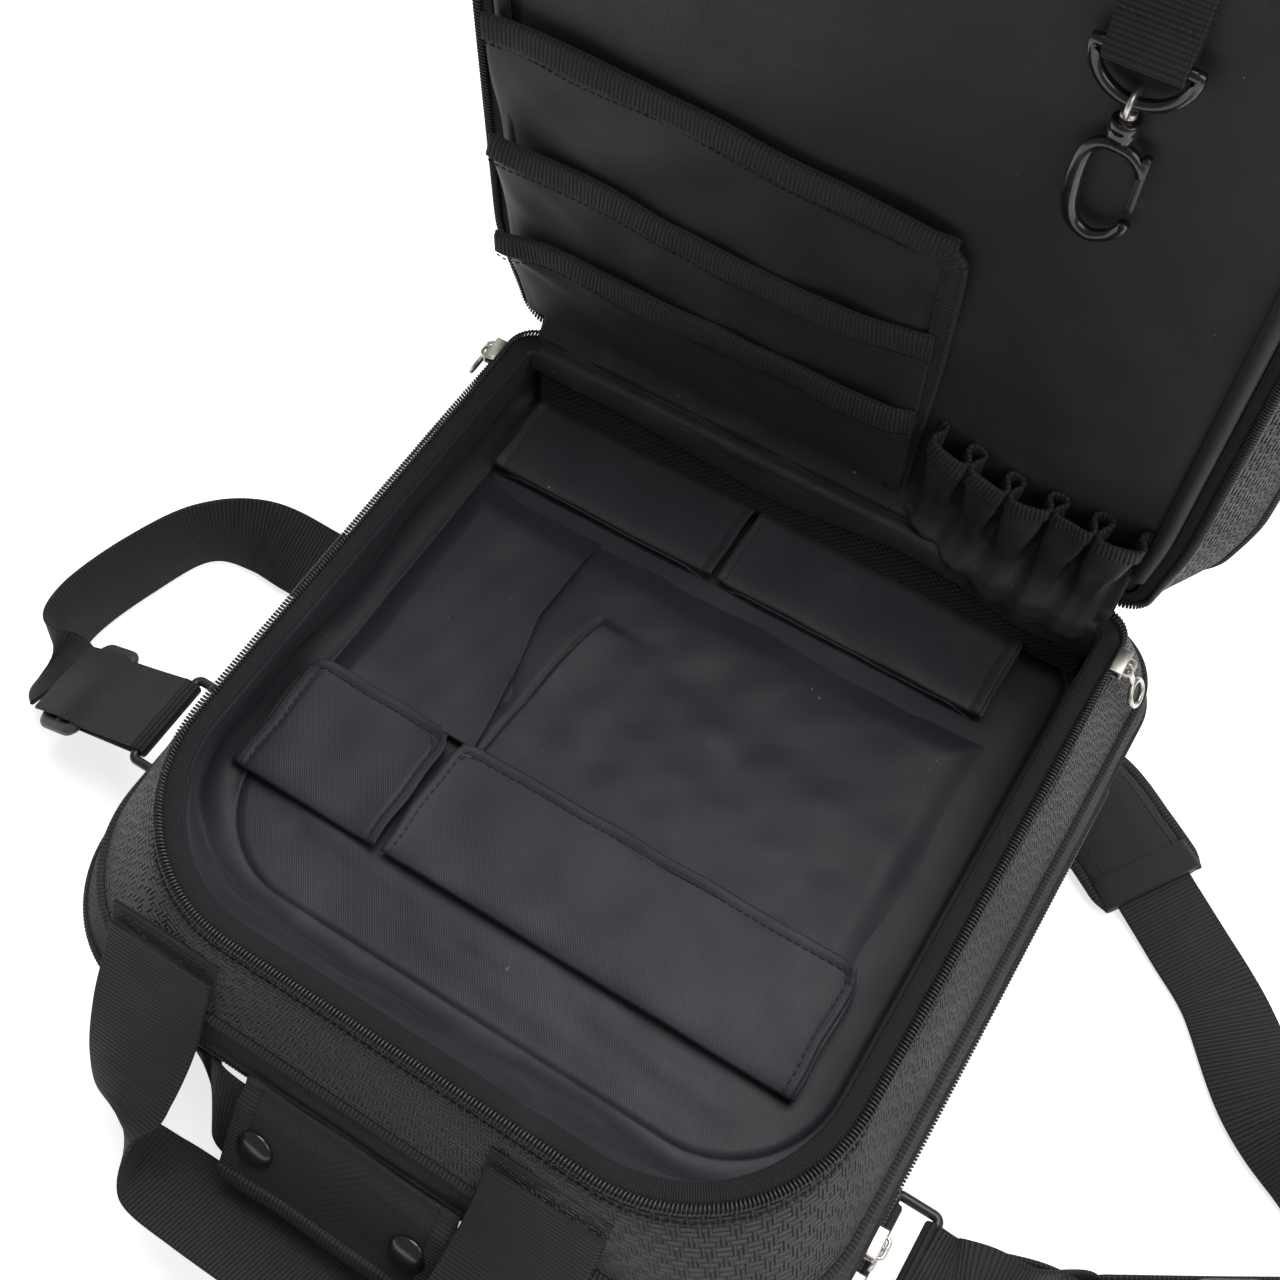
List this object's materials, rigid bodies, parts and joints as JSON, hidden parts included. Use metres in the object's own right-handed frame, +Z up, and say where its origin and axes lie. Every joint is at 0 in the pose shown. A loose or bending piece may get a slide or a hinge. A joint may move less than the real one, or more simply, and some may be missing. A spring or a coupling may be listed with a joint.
{
  "type": "trauma backpack",
  "caption": "Soft pack with zip-round lid held open, pocketed compartment, rear zip bay, carry handles, key clip and a padded shoulder strap.",
  "frame": {"origin": "underside of the centre back pad, on the ground", "axes": "+X along the lid's hinge, +Y towards the hinge, +Z up out of the back panel"},
  "size_m": [0.6248, 0.4179, 0.437],
  "materials": {
    "nylon": "coarse ballistic nylon, matt",
    "lining": "fine twill nylon lining, slight sheen",
    "webbing": "woven nylon webbing, ribbed",
    "pad_mesh": "open spacer mesh over foam",
    "foam": "closed-cell foam, fabric faced",
    "plastic": "moulded acetal, satin",
    "stud": "black enamelled press stud",
    "zinc": "nickel plated zinc, worn",
    "coil": "nylon zip coil and tape"
  },
  "bodies": {
    "pack": {"back_panel": "nylon", "back_pads": "pad_mesh", "rear_gusset_lower": "nylon", "rear_zip_tape": "coil", "rear_gusset_upper": "nylon", "piping": "webbing", "front_gusset": "nylon", "main_zip_tape": "coil", "main_lining": "lining", "floor_board": "foam", "hinge_strip": "lining", "pocket_near_left": "lining", "pocket_near_right": "lining", "pocket_far_left": "lining", "pocket_far_right": "lining", "stowed_harness_left": "pad_mesh", "stowed_harness_right": "pad_mesh", "harness_buckles": "plastic", "handle_patches": "webbing", "ring_tabs": "webbing", "strap_rings": "plastic", "strap_end_left": "webbing", "strap_end_right": "webbing", "tri_glides": "plastic", "strap_webbing_left": "webbing", "strap_webbing_right": "webbing", "shoulder_pad": "nylon"},
    "lid": {"lid_panel": "nylon", "lid_foam": "foam", "lid_lining": "lining", "lid_border": "nylon", "lid_zip_tape": "coil", "lid_welt": "lining", "lid_pocket_upper": "lining", "lid_pocket_middle": "lining", "lid_pocket_lower": "lining", "lid_bindings": "webbing", "pen_loops": "lining", "key_webbing": "webbing"},
    "flap_near_left": {"flap_near_left": "lining"},
    "flap_near_right": {"flap_near_right": "lining"},
    "flap_far_left": {"flap_far_left": "lining"},
    "flap_far_right": {"flap_far_right": "lining"},
    "key_ring": {"key_ring": "plastic"},
    "key_swivel": {"key_swivel": "zinc"},
    "key_hook": {"key_hook": "plastic"},
    "hook_gate": {"hook_gate": "plastic"},
    "slider_left": {"zip_slider_left": "zinc"},
    "slider_right": {"zip_slider_right": "zinc"},
    "pull_left": {"zip_pull_left": "zinc"},
    "pull_right": {"zip_pull_right": "zinc"},
    "rear_slider_a": {"rear_slider_a": "zinc"},
    "rear_slider_b": {"rear_slider_b": "zinc"},
    "rear_pull_a": {"rear_pull_a": "zinc"},
    "rear_pull_b": {"rear_pull_b": "zinc"},
    "handle_front": {"handle_front": "webbing"},
    "handle_rear": {"handle_rear": "webbing", "handle_wrap": "lining"},
    "wrap_flap": {"wrap_flap": "lining", "press_studs": "stud"}
  },
  "joints": [
    {"name": "lid_hinge", "type": "hinge", "parent": "pack", "child": "lid", "pos_m": [0, 0.142, 0.131], "axis": [-1, 0, 0], "range_deg": [-90, 55]},
    {"name": "flap_near_left_fold", "type": "hinge", "parent": "pack", "child": "flap_near_left", "pos_m": [-0.104, -0.085, 0.0913], "axis": [1, 0, 0], "range_deg": [0, 110]},
    {"name": "flap_near_right_fold", "type": "hinge", "parent": "pack", "child": "flap_near_right", "pos_m": [0.027, -0.085, 0.0913], "axis": [1, 0, 0], "range_deg": [0, 110]},
    {"name": "flap_far_left_fold", "type": "hinge", "parent": "pack", "child": "flap_far_left", "pos_m": [-0.076, 0.092, 0.0913], "axis": [1, 0, 0], "range_deg": [0, 110]},
    {"name": "flap_far_right_fold", "type": "hinge", "parent": "pack", "child": "flap_far_right", "pos_m": [0.046, 0.092, 0.0913], "axis": [1, 0, 0], "range_deg": [0, 110]},
    {"name": "key_ring_swing", "type": "hinge", "parent": "lid", "child": "key_ring", "pos_m": [0.078, 0.1407, 0.375], "axis": [-1, 0, 0], "range_deg": [0, 85]},
    {"name": "key_eye_swing", "type": "hinge", "parent": "key_ring", "child": "key_swivel", "pos_m": [0.078, 0.1407, 0.3595], "axis": [-1, 0, 0], "range_deg": [0, 70]},
    {"name": "key_swivel_turn", "type": "hinge", "parent": "key_swivel", "child": "key_hook", "pos_m": [0.078, 0.1407, 0.3539], "axis": [0, 0, 1], "range_deg": [-10, 7]},
    {"name": "gate_press", "type": "hinge", "parent": "key_hook", "child": "hook_gate", "pos_m": [0.0875, 0.1407, 0.3419], "axis": [0, 1, 0], "range_deg": [0, 22], "stiffness_Nm_per_rad": 0.02, "springref_deg": -28.65},
    {"name": "slider_left_run", "type": "slide", "parent": "pack", "child": "slider_left", "axis": [0, -1, 0], "range_m": [0, 0.19]},
    {"name": "slider_right_run", "type": "slide", "parent": "pack", "child": "slider_right", "axis": [0, -1, 0], "range_m": [0, 0.19]},
    {"name": "pull_left_swing", "type": "hinge", "parent": "slider_left", "child": "pull_left", "pos_m": [-0.1513, 0.121, 0.12835], "axis": [0, 1, 0], "range_deg": [0, 120]},
    {"name": "pull_right_swing", "type": "hinge", "parent": "slider_right", "child": "pull_right", "pos_m": [0.1513, 0.121, 0.12835], "axis": [0, -1, 0], "range_deg": [0, 120]},
    {"name": "rear_slider_a_run", "type": "slide", "parent": "pack", "child": "rear_slider_a", "axis": [0, 1, 0], "range_m": [0, 0.19]},
    {"name": "rear_slider_b_run", "type": "hinge", "parent": "pack", "child": "rear_slider_b", "pos_m": [0.114, -0.127, 0.075], "axis": [0, 0, -1], "range_deg": [0, 80]},
    {"name": "rear_pull_a_swing", "type": "hinge", "parent": "rear_slider_a", "child": "rear_pull_a", "pos_m": [0.1712, -0.109, 0.075], "axis": [0, -1, 0], "range_deg": [0, 150]},
    {"name": "rear_pull_b_swing", "type": "hinge", "parent": "rear_slider_b", "child": "rear_pull_b", "pos_m": [0.1712, -0.127, 0.075], "axis": [0, -1, 0], "range_deg": [0, 150]},
    {"name": "front_handle_lift", "type": "hinge", "parent": "pack", "child": "handle_front", "pos_m": [-0.018, -0.16678, 0.10763], "axis": [-1, 0, 0], "range_deg": [0, 100]},
    {"name": "rear_handle_lift", "type": "hinge", "parent": "pack", "child": "handle_rear", "pos_m": [-0.008, -0.17948, 0.0715], "axis": [-1, 0, 0], "range_deg": [0, 14]},
    {"name": "wrap_flap_open", "type": "hinge", "parent": "handle_rear", "child": "wrap_flap", "pos_m": [-0.008, -0.19208, 0.08165], "axis": [-1, 0, 0], "range_deg": [0, 60]}
  ]
}
